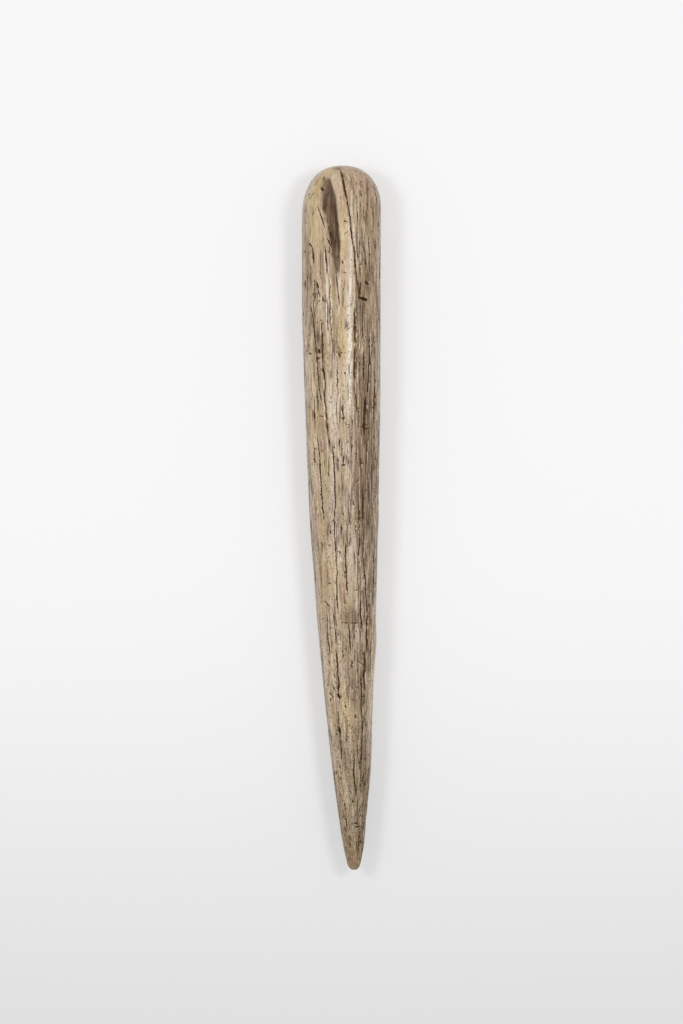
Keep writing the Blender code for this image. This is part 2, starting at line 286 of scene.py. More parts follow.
# Patches of the upper face by their mark: from head, across, half length, half width, strength
PATCHES = {
    "brown": (
        (44, 8.4, 50, 4.4, 0.46), (47, 6, 6, 2.6, 0.5), (38, 6.5, 6, 2.6, 0.3), (46, -11, 6, 1.5, 0.4),
        (186, 1, 6, 1.2, 0.3), (65, 6.4, 6, 2.6, 0.3), (95, 7.6, 36, 4.4, 0.8),
        (170, 5.2, 22, 1.8, 0.28), (137, 3.2, 5, 1.4, 0.4), (190, 5.4, 26, 2.6, 0.2),
        (45, -10, 13, 2.4, 0.65), (54, -7.2, 6, 1.8, 0.7), (212, 2.4, 8, 2, 0.65),
        (48, -2.4, 18, 2.2, 0.62), (35, -2, 5, 1.8, 0.65), (162, 3.5, 9, 1.4, 0.55),
        (101, 5.8, 6, 2, 0.4), (78, -5.4, 9, 1.6, 0.4), (83, 2.2, 4, 1.6, 0.4),
        (129, 2.4, 5, 1.4, 0.35), (176, 5.8, 5, 1.3, 0.6), (194, 3.6, 5, 1, 0.75),
        (204, 1.2, 5, 0.9, 0.4), (213, 2.7, 5, 0.9, 0.4), (146, 2.8, 8, 1.6, 0.65),
        (176, -0.9, 9, 1.1, 0.8), (189, 2.8, 12, 2.2, 0.5), (140.5, 2.8, 2.2, 3, 1.1),
        (112, 1.5, 14, 2, 0.3), (74, 7.4, 3.6, 1, 0.6), (30, -10.5, 8, 1.4, 0.35), (35, -6, 5, 2, 0.3),
        (63, -8.6, 5, 1.6, 0.35), (176, 3.8, 5, 1.2, 0.25), (57, -1, 7, 1.6, 0.35),
        (13, 1.6, 6, 1.2, 0.4), (28, -10.8, 9, 1.5, 0.6), (76, 5.5, 8, 2, 0.35),
        (157, 1.9, 4.5, 1.4, 0.3), (129, -3.6, 4.5, 1.4, 0.28), (185, -2.6, 4.5, 1, 0.25),
        (120, -7, 4.5, 1.8, 0.25), (24, 10.2, 6, 2, 0.3), (9, 0.5, 6, 0.6, 0.4),
        (16.5, 1.9, 6, 0.6, 0.35), (212, 4.8, 6, 1.2, 0.2), (30, -4.2, 4, 1.1, 0.6),
        (115.5, -8.5, 4.5, 1.2, 0.75), (29.5, 1.6, 4, 0.9, 0.5), (50.5, 10.8, 4.5, 1.2, 0.65),
        (20.5, 8.6, 4, 1.2, 0.35), (66.5, -1.1, 4, 1, 0.3), (125.5, 8.3, 4, 1, 0.35),
        (38, -8.9, 4, 1.1, 0.3), (43, 3.3, 3.5, 0.9, 0.6), (101.5, 1.1, 3.5, 1, 0.4),
        (84.5, 1.1, 3.5, 1, 0.35), (67.5, 4.5, 3.5, 1, 0.4),
    ),
    "ochre": (
        (0.5, 0, 1.5, 9, 0.5), (21, -8, 11, 2.4, 0.55), (17.5, 0.6, 12.5, 1.4, 0.65),
        (48.7, -0.2, 8, 2, 0.8), (45.6, -6.4, 4.6, 1.3, 0.9), (86, -9.2, 14, 2.2, 0.9),
        (62, 0.8, 9, 2.5, 0.6), (132, -6, 9, 1.6, 0.45), (56, -0.8, 5, 2, 0.6), (10, 6, 9, 4, 0.3),
        (7, -8, 6, 3, 0.7), (214, 4.6, 4, 1.4, 0.7), (171, 1.1, 5.5, 3.2, 0.6), (194, 0.8, 10, 2, 0.45),
        (217, 4, 2, 1.3, 0.3), (80, -8.6, 14, 2, 0.3), (63, 3.5, 5, 2.5, 0.5), (211, 4, 6, 2.6, 0.6),
        (17, -10.5, 7, 1.6, 0.6), (32, -10, 10, 1.6, 0.4), (54, 0, 7, 3, 0.45), (72, -8.6, 8, 1.8, 0.3),
        (73, -1, 6, 1.5, 0.25), (140.5, 3.2, 2.2, 2.6, 0.5), (60, 6.5, 10, 2.5, 0.35),
    ),
    "ruddy": (
        (214.5, 3.8, 6, 2.6, 0.55), (47, -6.8, 7, 1.3, 0.3), (10, 8, 10, 3.5, 0.7),
        (33, 7.5, 10, 3, 0.65), (25, 11.2, 16, 1.2, 0.8), (54, 8, 8, 3, 0.4), (11, -4.4, 5, 2, 0.5),
        (212, 4.8, 6, 1.2, 0.35),
    ),
    # Pale patches: most are paler bone, but the narrow ones along the two ridges are painted highlights
    "bleached_and_lit": (
        (72, -1.4, 15, 1.8, 0.35), (62, 2.2, 28, 0.9, 0.5), (14, 3.1, 4.5, 0.45, 0.5),
        (28, 2.8, 8, 0.5, 0.2), (38.5, -4.4, 13, 0.4, 0.2), (28, -5.1, 5, 0.6, 0.32),
        (36, -4.6, 6, 0.6, 0.28), (98, -2.8, 11, 0.5, 0.6), (127.5, 3.2, 9.5, 1.1, 0.25),
        (150, -5.3, 9, 1.4, 0.4), (140, 5.6, 9, 1.8, 0.65), (92, -9, 6, 1.8, 0.4),
        (64, 2.4, 6, 1.4, 0.45), (62, 9.5, 8, 2.2, 0.65), (26.5, 6, 5, 2, 0.5),
        (45, -5.4, 6, 1.2, 0.35), (120, 5.5, 5, 1.6, 1), (120, -0.8, 5, 1.2, 0.35),
        (92, -1.2, 6, 1.5, 0.4), (166, 8.6, 11, 1.3, 0.6), (8, 6.5, 6, 3, 0.35),
        (148, -0.8, 5, 0.8, 0.4), (148, 5.2, 5, 1.2, 0.45), (194.7, 1.8, 5, 1, 0.8),
        (120, 2, 5, 3, 0.35), (138, -3.6, 6, 2, 0.35), (45, -6.6, 4.5, 1.6, 0.6),
        (58, 10.4, 10, 1.4, 0.5), (73, -9, 5, 1.6, 0.3), (176, -3, 5, 1.2, 0.4),
        (185, -0.6, 5, 1, 0.55), (7, -2, 4, 1.4, 0.3), (204.5, 5.4, 5, 1, 0.85), (160, 7.4, 5, 2, 0.35),
        (12, -1, 7, 0.9, 0.35), (26, 3.3, 6, 0.7, 0.2), (34, 3.7, 7, 0.8, 0.45), (54, 6.8, 6, 2.2, 0.4),
        (18, -6.8, 8, 1.2, 0.3), (138, 5.2, 4, 1.4, 0.45), (157, 4.6, 4.5, 1.2, 0.35),
        (25, 5.8, 5, 1.4, 0.25), (46.5, -3.9, 4.5, 0.9, 0.4), (34.5, 10.8, 4, 1, 0.8),
        (57, 7.3, 4.5, 1.2, 0.45), (104.5, 3, 4, 0.9, 0.75), (61, 3.2, 5, 0.7, 0.6),
        (77.5, -2.3, 4.5, 0.9, 0.5), (131.5, 7, 4, 1, 0.8), (91, 1.8, 4.5, 1, 0.6),
        (106, -2.8, 4.5, 0.8, 0.7), (117.5, -1.7, 4.5, 0.8, 0.8), (60, -3, 4.5, 0.9, 0.35),
        (100.5, -9.4, 4.5, 1, 0.5), (116.5, 6.7, 4, 1, 0.5), (49.5, 1.2, 4.5, 0.9, 0.4),
        (133.5, 9.5, 4, 1, 0.5),
    ),
    "grey_and_sheen": (
        (1.4, -1.4, 0.8, 1.6, 0.8), (103, 1.1, 5, 1.3, 0.6), (106, -3.4, 10, 3.2, 0.6),
        (108, 8.6, 26, 3, 0.95), (181, 7.2, 11, 2.2, 0.9), (166, 4.6, 5, 1.2, 0.4),
        (184, -0.2, 4, 0.8, 0.6), (34, -11.6, 16, 1.2, 0.35), (96, 9.6, 8, 1.6, 0.4),
        (110, -1.2, 6, 1.5, 0.5),
    ),
    "dark": (
        (23.8, -3.8, 3, 0.7, 0.3), (1.4, -1, 0.7, 1.2, 0.5), (54, -7.3, 1.7, 0.7, 0.75),
        (176, -0.9, 6, 0.5, 0.35), (115.5, 0.3, 1.6, 1.1, 0.35), (149.8, 8.1, 2.2, 0.6, 0.5),
        (191, 6.9, 2.6, 0.8, 0.4),
    ),
    "matt": (
        (22, -5.2, 7, 1.6, 1), (62, -4, 10, 1.2, 0.5), (38, 5, 3, 0.8, 0.8), (82, 2.2, 4, 1, 0.6),
        (133.5, 4, 5, 1.2, 0.9), (194, 3.8, 5, 1.2, 0.7),
    ),
}

# Patches with little fine wear, or with more where the strength is below 0, in the same columns
RUBBED_PATCHES = (
    (17, -8.2, 13, 2.6, 0.75), (19, 0.8, 14, 1.5, 0.85), (7.5, -1.2, 6, 1.5, 0.6),
    (42, 2.4, 17, 1.3, 0.9), (64, 2.2, 8, 1.4, 0.7), (38, -2.8, 7, 1.6, 0.6), (62, -0.2, 14, 1.6, 0.45),
    (88, -6, 30, 2.4, 0.25), (128, -4.4, 24, 2.4, 0.35), (131, 3.2, 10, 1.6, 0.6),
    (160, 0.6, 10, 1.5, 0.25), (166, 9.2, 15, 3, 0.9), (205, 2.6, 9, 1.2, 0.4),
    (215.5, 4, 4.5, 2.6, 0.7), (24, 8.5, 16, 3.6, 0.6), (170, 2.4, 4.5, 2, 0.5),
    (49, -9.5, 7, 2.2, -0.35), (54, -2.5, 9, 2.5, -0.2), (62, 9.9, 10, 1.3, 0.55),
    (120, 6, 5, 1.6, 0.4), (204, 5.3, 4.5, 0.9, 0.5), (194.7, 1.7, 4.5, 1, 0.5),
    (46.5, -3.9, 4.5, 1.1, 0.5), (57, 7.3, 4.5, 1.2, 0.4), (34.5, 10.8, 4, 1.2, 0.6),
    (104.5, 3, 4, 1, 0.5), (61.5, 3.2, 4, 0.9, 0.5), (131.5, 7, 4, 1.2, 0.5),
)

# Where the tip turns brown, and where the painted grey sheen of the flanks and the painted lighter -X flank
# lie:
# distances along, turns from the top
BROWN_TIP = 0.6
BROWN_TIP_RISES = (178.0, 208.0)
FLANKS_FALL = (210.0, 190.0)
FLANK_HALF_TURN = 0.3
RIM_SHEEN_TURN = 1.55
RIM_SHEEN = 0.25
RIM_SHEEN_DRIFT = 0.3
RIM_SHEEN_DRIFT_SIZES = (8, 11.0, 40)
LIT_FLANK_TURN = -1.25
LIT_FLANK = 0.25

# How worn the bone is by the turn from the top: both sides past a turn, less where the flanks shelter it
LEAST_WEAR = 0.45
SIDE_WEAR = 0.55
SHELTER = 0.2
SHELTERED_TURNS = (1.3, 1.9)
WORN_RIGHT_FROM = 0.1
WORN_LEFT_FROM = 0.95
WEAR_EASING = 0.5

# Fine wear scattered all round: the last start and end of a split are counted from the tip, and lengths are
# the shortest plus a gamma draw of this shape and scale
SCATTER_SEED = 41
FINE_SPLITS = 950
FIRST_SPLIT_START = 3.0
LAST_SPLIT_START = 12.0
LAST_SPLIT_END = 2.0
FINE_SPLIT_SHORTEST = 2.5
FINE_SPLIT_LENGTHS = (2.0, 4.5)
FINE_SPLIT_DARKNESS = (0.35, 0.95)
FINE_HALF_WIDTHS = (0.11, 0.24)
FINE_PITS = 1500
FINE_PITS_FROM = 2.0
FINE_PITS_MARGINS = 6.0
FINE_PITS_CROWDING = 0.8
FINE_PIT_LENGTHS = (0.5, 1.5)
FINE_PIT_DARKNESS = (0.5, 1.0)
DARK_STREAKS = 460
PALE_STREAKS = 160
STREAK_SHORTEST = 2.5
STREAK_LENGTHS = (2.0, 3.0)
STREAK_HALF_WIDTHS = (0.25, 0.60)
STREAK_STRENGTHS = (0.3, 0.9)
STREAK_DEPTH = 0.05
MOST_PALE = 1.2

# What each point of the skin is marked with: the strength of the line that is strongest there, the distance
# aside of it and its half width, then the stains, among them painted highlights, painted light and a
# painted grey sheen, how matt the point is and how worn
LINE_REACH = 0.25
NO_LINE = {"split": 0.0, "aside": 2.0, "gape": 0.1}
STAINS = ("brown", "ochre", "ruddy", "bleached_and_lit", "grey_and_sheen", "dark", "matt", "worn")

# Shine of the finish, and its bump in metres
BONE_IOR = 1.54
BONE_SPECULAR = 0.5
BONE_ROUGHNESS = 0.24
BUMP_STRENGTH = 0.2
BUMP_HEIGHT = 0.0001

# Table, lamps and camera, in metres
FLOOR_COLOUR = (0.94, 0.94, 0.945, 1.0)
# The table's colour falls to a darker one towards -Y: a painted shade standing in for the light falling off
FLOOR_SHADED_COLOUR = (0.77, 0.77, 0.775, 1.0)
FLOOR_SHADE_FADE = (-0.20, 0.0)
FLOOR_GLOW = 0.38
FLOOR_ROUGHNESS = 0.8
FLOOR_SPECULAR = 0.1
FLOOR_HALF_SIZE = 3.0
ROOM_LIGHT = 0.60
LAMP_HEIGHT = 0.60
LAMP_ALONG = 0.09
LAMP_SIZE = 0.14
LAMP_POWER = 1.0
LEFT_LAMP_ACROSS = -0.306
RIGHT_LAMP_ACROSS = 0.258
CAMERA_LENS = 100.0
CAMERA_SENSOR = 36.0
PICTURE_HEIGHT = 0.3195
PICTURE_MIDDLE = 0.002
OUTLINE_HEIGHT = 0.011


def smoothstep(share):
    """Eased share: 0 below 0, 1 above 1, and 3 s^2 - 2 s^3 between."""
    share = np.clip(share, 0.0, 1.0)
    return share * share * (3.0 - 2.0 * share)


def eased(value, start, end):
    """Eased share of the way that value has come from start to end; end may be the lower of the two."""
    return smoothstep((value - start) / (end - start))


def share_between(value, start, end):
    """How far value has come from start to end, from 0 to 1."""
    return np.clip((value - start) / (end - start), 0.0, 1.0)


def bell(value):
    """A bell curve: 1 at 0, and exp(-v^2) to either side."""
    return np.exp(-(value**2))


def dome(share, squareness):
    """Height of a rounded end at this share of its length: 0 at its pole, 1 where it ends."""
    return (1.0 - (1.0 - share) ** squareness) ** (1.0 / squareness)


def half_size(from_head, head_size, tip_size):
    """Half the width or thickness before the ends are rounded: full along the grip, then falling away.

    The taper eases into the tip's cap: a length b beyond the cap counts as (b + sqrt(b^2 + easing^2)) / 2.
    """
    beyond_cap = LENGTH - from_head - TIP_CAP_LENGTH
    counted = (beyond_cap + np.sqrt(beyond_cap**2 + TIP_EASING**2)) / 2
    along_taper = share_between(counted, 0.0, LENGTH - GRIP_LENGTH - TIP_CAP_LENGTH)
    fullness = (1.0 - (1.0 - along_taper) ** TAPER_FALL) ** TAPER_FULLNESS
    return (tip_size + (head_size - tip_size) * fullness) / 2


def end_rounding(from_head):
    """What the domed head and the round tip leave of a section, from 0 to 1."""
    at_head = dome(share_between(from_head, 0.0, HEAD_DOME_LENGTH), DOME_SQUARENESS)
    at_tip = dome(share_between(LENGTH - from_head, 0.0, TIP_END_LENGTH), TIP_SQUARENESS)
    return at_head * at_tip


def axis_across(from_head):
    """How far the axis lies towards +X: a power of the share from the grip to the tip.

    The head leans the same way, eased in over the inner half of its dome.
    """
    lean = HEAD_LEAN * eased(from_head, HEAD_DOME_LENGTH, HEAD_DOME_LENGTH / 2)
    return lean + TIP_SWEEP * share_between(from_head, SWEEP_FROM_HEAD, LENGTH) ** SWEEP_POWER


def axis_height(from_head):
    """Height of the axis: half the thickness, plus the lift of the tip as a power of its share."""
    lift = TIP_LIFT * share_between(from_head, LIFT_FROM_HEAD, LENGTH) ** LIFT_POWER
    return lift + half_size(from_head, HEAD_THICKNESS, TIP_THICKNESS) - BELLY_FLAT_DEPTH


def section(from_head):
    """Half width and half thickness of the section this far from the head's end."""
    rounding = end_rounding(from_head)
    swelling = TIP_SWELL * eased(from_head, *TIP_SWELL_RISES) * eased(from_head, *TIP_SWELL_FALLS)
    half_width = half_size(from_head, HEAD_WIDTH, TIP_WIDTH) + swelling
    half_thickness = half_size(from_head, HEAD_THICKNESS, TIP_THICKNESS) + swelling
    return half_width * rounding, half_thickness * rounding


def smooth_skin(from_head, from_top):
    """Points of the unworn skin: an oval section carried along the swept and lifted axis."""
    half_width, half_thickness = section(from_head)
    across = axis_across(from_head) + half_width * np.sin(from_top)
    height = axis_height(from_head) + half_thickness * np.cos(from_top)
    along = np.broadcast_to(HEAD_END - from_head, across.shape)
    return np.stack([across, along, height], axis=-1)


def ring_places():
    """Distances from the head of the rings, evenly spaced along the outline from pole to pole."""
    fine = LENGTH * (1.0 - np.cos(np.linspace(0.0, math.pi, OUTLINE_STEPS))) / 2
    steps = np.hypot(np.diff(fine, prepend=0.0), np.diff(section(fine)[0], prepend=0.0))
    travelled = np.cumsum(steps)
    return np.interp(np.linspace(0.0, travelled[-1], RINGS + 2), travelled, fine)[1:-1, None]


def column_turns():
    """Turns from the top of the columns: an even turn less a sine, so that they crowd on the upper face."""
    even = np.linspace(-math.pi, math.pi, COLUMNS, endpoint=False)
    return (even - TOP_CROWDING * np.sin(even))[None, :]


def outward(points):
    """Unit normals of a closed grid: the cross product of its steps along and round."""
    along = np.gradient(points, axis=0)
    wrapped = np.concatenate([points[:, -1:], points, points[:, :1]], axis=1)
    around = (wrapped[:, 2:] - wrapped[:, :-2]) / 2
    normal = np.cross(along, around)
    return normal / np.linalg.norm(normal, axis=-1, keepdims=True)


def chance_line(chance, from_head, step):
    """Random values from -1 to 1 at every step along, joined by straight lines."""
    knots = np.arange(0.0, LENGTH + 2 * step, step)
    return np.interp(from_head, knots, chance.uniform(-1.0, 1.0, len(knots)))


def wander(chance, from_head):
    """How far a split strays to either side of its line: a slow drift and a quick jag."""
    slow = chance_line(chance, from_head, WANDER_STEP)
    return SPLIT_WANDER * (slow + JAG_SHARE * chance_line(chance, from_head, JAG_STEP))


def turn_at(from_head, across):
    """Turn from the top of a point on the upper face that is seen this far across."""
    reach = np.maximum(section(from_head)[0], 1e-6)
    return np.arcsin(np.clip((across - axis_across(from_head)) / reach, -1.0, 1.0))


def line_on_top(path, from_head):
    """Turn from the top along a line drawn through (from head, across) points."""
    stations, places = np.array(path).T
    return turn_at(from_head, np.interp(from_head, stations, places))


class Surface:
    """The worn skin on its grid: how deep each point is sunk, and what it is marked with."""

    def __init__(self):
        self.from_head = ring_places()
        self.from_top = column_turns()
        self.points = smooth_skin(self.from_head, self.from_top)
        self.reach = section(self.from_head)[0]
        shape = self.points.shape[:2]
        self.depth = np.zeros(shape)
        self.marks = {name: np.full(shape, value) for name, value in NO_LINE.items()}
        self.marks.update({name: np.zeros(shape) for name in STAINS})

    def rows(self, start, end):
        """The rings between two distances from the head."""
        return slice(*np.searchsorted(self.from_head[:, 0], (start, end)))

    def away(self, rows, turn):
        """Distance round the skin, in millimetres, of these rings' points from a turn."""
        apart = (self.from_top - turn + math.pi) % (2 * math.pi) - math.pi
        return apart * self.reach[rows]

    def drift(self, seed, step, cells):
        """Smooth chance height from -1 to 1 all over the skin.

        Random heights at every step along and at this many cells round, eased between.
        """
        heights = np.random.default_rng(seed).uniform(-1.0, 1.0, (int(LENGTH / step) + 3, cells))
        along = self.from_head / step
        around = (self.from_top / (2 * math.pi) + 0.5) * cells
        row = np.floor(along).astype(int)
        column = np.floor(around).astype(int)
        down = smoothstep(along - row)
        right = smoothstep(around - column)
        near, far = column % cells, (column + 1) % cells
        upper = heights[row, near] * (1 - right) + heights[row, far] * right
        lower = heights[row + 1, near] * (1 - right) + heights[row + 1, far] * right
        return upper * (1 - down) + lower * down

    def open_line(self, rows, aside, half_width, strength):
        """Opens a line, given each point's distance aside of it: a bell-shaped groove, deeper where wider.

        A point keeps the marks of the line that is strongest there.
        """
        deepest = np.minimum(SPLIT_STEEPNESS * half_width, DEEPEST_SPLIT)
        self.depth[rows] += strength * deepest * bell(aside / (half_width + SPLIT_SLOPE))
        near = strength * bell(aside / (half_width + LINE_REACH))
        stronger = near > self.marks["split"][rows]
        for name, values in (("split", near), ("aside", aside), ("gape", half_width)):
            self.marks[name][rows] = np.where(stronger, values, self.marks[name][rows])

    def split(self, start, end, turn, half_width, darkness, chance):
        """A split along the grain that wanders about its turn, fades in places and closes at both ends.

        The turn is one number, or one for each ring from start to end. The opening is the square root of
        the share of the taper that has been passed.
        """
        rows = self.rows(start, end)
        from_head = self.from_head[rows]
        taper = min(SPLIT_TAPER, SPLIT_TAPER_SHARE * (end - start))
        passed = np.minimum(from_head - start, end - from_head) / taper
        opening = np.sqrt(np.clip(passed, LEAST_OPENING, 1.0))
        turn = turn + wander(chance, from_head) / np.maximum(self.reach[rows], 1.0)
        fading = SPLIT_HOLD + SPLIT_FADING * chance_line(chance, from_head, FADING_STEP)
        self.open_line(rows, self.away(rows, turn), half_width * opening, darkness * opening * fading)

    def cut(self, first, second, half_width, darkness):
        """A short straight mark between two (from head, across) points, seen from above.

        Along its length it is as dark as exp(-s^4) of the share s of the way to its end.
        """
        middle = (first + second) / 2
        reach = (second - first) / 2
        half_length = np.hypot(*reach)
        down, right = reach / half_length
        margin = abs(reach[0]) + CUT_MARGIN
        rows = self.rows(middle[0] - margin, middle[0] + margin)
        below = self.from_head[rows] - middle[0]
        beside = self.away(rows, turn_at(*middle))
        share = (below * down + beside * right) / (half_length + half_width / 2)
        self.open_line(rows, beside * down - below * right, half_width, darkness * np.exp(-(share**4)))

    def spot(self, from_head, turn, half_length, half_width):
        """The rings near a spot, and its bell-shaped mark on them."""
        rows = self.rows(from_head - SPOT_REACH * half_length, from_head + SPOT_REACH * half_length)
        along = (self.from_head[rows] - from_head) / half_length
        return rows, bell(along) * bell(self.away(rows, turn) / half_width)


def how_worn(turn):
    """Share of wear at a turn: least on the -X side of the upper face, most on the +X side."""
    past = np.maximum(turn - WORN_RIGHT_FROM, -turn - WORN_LEFT_FROM)
    side = SIDE_WEAR - SHELTER * eased(np.abs(turn), *SHELTERED_TURNS)
    return LEAST_WEAR + side * smoothstep(past / WEAR_EASING)


def wear_skin(surface):
    """Waves left by carving and ridges along the grain, sunk in, and low swellings of the flanks.

    The +X side swells with the square of the sine of the turn, and each flank's swelling is a bell.
    """
    from_head, from_top = surface.from_head, surface.from_top
    clear_of_ends = smoothstep(np.minimum(from_head, LENGTH - from_head) / CLEAR_OF_ENDS)
    for seed, step, cells, depth in (CARVING_WAVES, GRAIN_RIDGES):
        surface.depth += clear_of_ends * depth * (1.0 + surface.drift(seed, step, cells)) / 2
    along = eased(from_head, *RIGHT_SWELL_RISES) * eased(from_head, *RIGHT_SWELL_FALLS)
    surface.depth -= RIGHT_SWELL * along * np.maximum(np.sin(from_top), 0.0) ** 2
    for middle, turn, half_length, half_turn, height in SWELLINGS:
        along = bell((from_head - middle) / half_length)
        surface.depth -= height * along * bell((from_top - turn) / half_turn)
    surface.marks["worn"] += how_worn(from_top)


def flatten_top(surface):
    """A flat worn along the top: between the two ridges, a chord takes most of the round away.

    The ridges themselves are painted pale: partly their polish, partly a painted highlight along them.
    """
    left = line_on_top(LEFT_RIDGE, surface.from_head)
    right = line_on_top(RIGHT_RIDGE, surface.from_head)
    share = share_between(surface.from_top, left, right)
    round_height = surface.reach * ((right - left) / 2) ** 2 / 2
    fades = 1.0 - TOP_FLAT_FADING * eased(surface.from_head, *TOP_FLAT_FADES)
    along = eased(surface.from_head, *TOP_FLAT_RISES) * fades
    surface.depth += TOP_FLATNESS * along * round_height * 4.0 * share * (1.0 - share)
    chance = np.random.default_rng(SCATTER_SEED + 3)
    for ridge, (half_width, strength) in ((left, LEFT_POLISH_AND_HIGHLIGHT), (right, RIGHT_POLISH_AND_HIGHLIGHT)):
        polish_and_highlight = bell(surface.away(slice(None), ridge) / half_width)
        comes_and_goes = POLISH_AND_HIGHLIGHT_HOLD + POLISH_AND_HIGHLIGHT_FADING * chance_line(chance, surface.from_head, POLISH_AND_HIGHLIGHT_STEP)
        # Pale band along each ridge: partly its polish, partly a painted highlight where the lamps reflect
        surface.marks["bleached_and_lit"] += strength * along * comes_and_goes * polish_and_highlight


def carve_channel(surface):
    """The natural channel: a trough along its line, gentle on its -X side and steep on the other.

    Its stain is softer at the edges, and a darker strand, a bell across it, follows the steep side.
    """
    stations, places, half_widths, stains = np.array(CHANNEL).T
    rows = surface.rows(stations[0], stations[-1])
    from_head = surface.from_head[rows]
    half_width = np.interp(from_head, stations, half_widths)
    share = surface.away(rows, turn_at(from_head, np.interp(from_head, stations, places))) / half_width
    roughness = np.where(share < 0.0, GENTLE_BANK_ROUGHNESS, STEEP_BANK_ROUGHNESS)
    chance = np.random.default_rng(SCATTER_SEED + 4)
    share = share + roughness * chance_line(chance, from_head, BANK_ROUGHNESS_STEP)
    fullness = np.minimum(1.0, half_width / FULL_DEPTH_HALF_WIDTH)
    surface.depth[rows] += CHANNEL_DEPTH * fullness * eased(share, *GENTLE_BANK) * eased(share, *STEEP_BANK)
    strand = bell((share - STRAND_PLACE) / STRAND_HALF_WIDTH)
    stain = eased(np.abs(share), *CHANNEL_STAIN_EDGE) * (CHANNEL_STAIN + STRAND_STAIN * strand)
    surface.marks["dark"][rows] += stain * np.interp(from_head, stations, stains)


def scatter_wear(surface):
    """Fine splits all round, and short pits that lie closer together towards the tip."""
    chance = np.random.default_rng(SCATTER_SEED + 1)
    last_end = LENGTH - LAST_SPLIT_END
    for _ in range(FINE_SPLITS):
        start = chance.uniform(FIRST_SPLIT_START, LENGTH - LAST_SPLIT_START)
        end = min(start + FINE_SPLIT_SHORTEST + chance.gamma(*FINE_SPLIT_LENGTHS), last_end)
        turn = chance.uniform(-math.pi, math.pi)
        darkness = chance.uniform(*FINE_SPLIT_DARKNESS) * how_worn(turn)
        surface.split(start, end, turn, chance.uniform(*FINE_HALF_WIDTHS), darkness, chance)
    for _ in range(FINE_PITS):
        along = chance.uniform() ** FINE_PITS_CROWDING
        start = FINE_PITS_FROM + (LENGTH - FINE_PITS_MARGINS) * along
        turn = chance.uniform(-math.pi, math.pi)
        end = start + chance.uniform(*FINE_PIT_LENGTHS)
        half_width = chance.uniform(*FINE_HALF_WIDTHS)
        surface.split(start, end, turn, half_width, chance.uniform(*FINE_PIT_DARKNESS), chance)


def scatter_streaks(surface):
    """Soft streaks along the grain all round: dark ones a little sunk, pale ones a little raised."""
    chance = np.random.default_rng(SCATTER_SEED + 2)
    dark_then_pale = (("brown", DARK_STREAKS, STREAK_DEPTH), ("bleached_and_lit", PALE_STREAKS, -STREAK_DEPTH))
    for name, count, sink in dark_then_pale:
        for _ in range(count):
            turn = chance.uniform(-math.pi, math.pi)
            shown = how_worn(turn) if name == "brown" else MOST_PALE - how_worn(turn)
            half_length = STREAK_SHORTEST + chance.gamma(*STREAK_LENGTHS)
            half_width = chance.uniform(*STREAK_HALF_WIDTHS)
            from_head = chance.uniform(0.0, LENGTH)
            rows, mark = surface.spot(from_head, turn, half_length, half_width)
            mark = mark * shown * chance.uniform(*STREAK_STRENGTHS)
            surface.marks[name][rows] += mark
            surface.depth[rows] += sink * mark


def rub_smooth(surface):
    """Takes fine wear off the rubbed patches; a strength below 0 roughens a patch instead."""
    for from_head, across, half_length, half_width, strength in RUBBED_PATCHES:
        rows, mark = surface.spot(from_head, turn_at(from_head, across), half_length, half_width)
        for name in ("split", "brown", "worn"):
            surface.marks[name][rows] *= 1.0 - strength * mark


def spread_stains(surface):
    """Stained patches of the upper face, a browner tip, and short of it a painted grey sheen on both flanks
    and painted light on the -X flank; the pale patches along the ridges are painted highlights.
    """
    for name, patches in PATCHES.items():
        for from_head, across, half_length, half_width, strength in patches:
            rows, mark = surface.spot(from_head, turn_at(from_head, across), half_length, half_width)
            surface.marks[name][rows] += strength * mark
    surface.marks["brown"] += BROWN_TIP * eased(surface.from_head, *BROWN_TIP_RISES)
    short_of_tip = eased(surface.from_head, *FLANKS_FALL)
    # A painted grey sheen on both flanks, standing in for the grazing reflection along the outline
    flank_sheen = short_of_tip * bell((np.abs(surface.from_top) - RIM_SHEEN_TURN) / FLANK_HALF_TURN)
    surface.marks["grey_and_sheen"] += flank_sheen * (RIM_SHEEN + RIM_SHEEN_DRIFT * surface.drift(*RIM_SHEEN_DRIFT_SIZES))
    # Painted light on the -X flank: paler, as if lit more
    lighter_flank = short_of_tip * bell((surface.from_top - LIT_FLANK_TURN) / FLANK_HALF_TURN)
    surface.marks["bleached_and_lit"] += LIT_FLANK * lighter_flank


def open_splits(surface):
    """The splits, cuts and pits that are seen from above."""
    chance = np.random.default_rng(SCATTER_SEED)
    for half_width, darkness, *points in HEAD_SPLITS + LEFT_SPLITS + MIDDLE_SPLITS + RIGHT_SPLITS:
        path = np.reshape(points, (-1, 2))
        start, end = path[0, 0], path[-1, 0]
        turn = line_on_top(path, surface.from_head[surface.rows(start, end)])
        surface.split(start, end, turn, half_width, darkness, chance)
    for half_width, darkness, *ends in CUTS:
        surface.cut(*np.reshape(ends, (2, 2)), half_width, darkness)


def grain_places(surface):
    """Place of each point in the straightened bone, whose fibres run along its third axis.

    Over the domes most fibres are cut across, so that they end there as dots.
    """
    half_width = half_size(surface.from_head, HEAD_WIDTH, TIP_WIDTH)
    spread = np.sqrt(HEAD_WIDTH / 2 * half_width)
    rounding = end_rounding(surface.from_head)
    across = spread * rounding**DOME_CUT_ACROSS * np.sin(surface.from_top)
    height = spread * rounding**DOME_CUT_HEIGHT * np.cos(surface.from_top)
    along = np.broadcast_to(surface.from_head, surface.depth.shape)
    return np.stack([across, height, along], axis=-1)


def with_poles(values, head_value, tip_value):
    """Grid values as one list of vertices, ended by those of the head's and the tip's pole."""
    flat = values.reshape(RINGS * COLUMNS, -1)
    return np.concatenate([flat, np.reshape(head_value, (1, -1)), np.reshape(tip_value, (1, -1))])


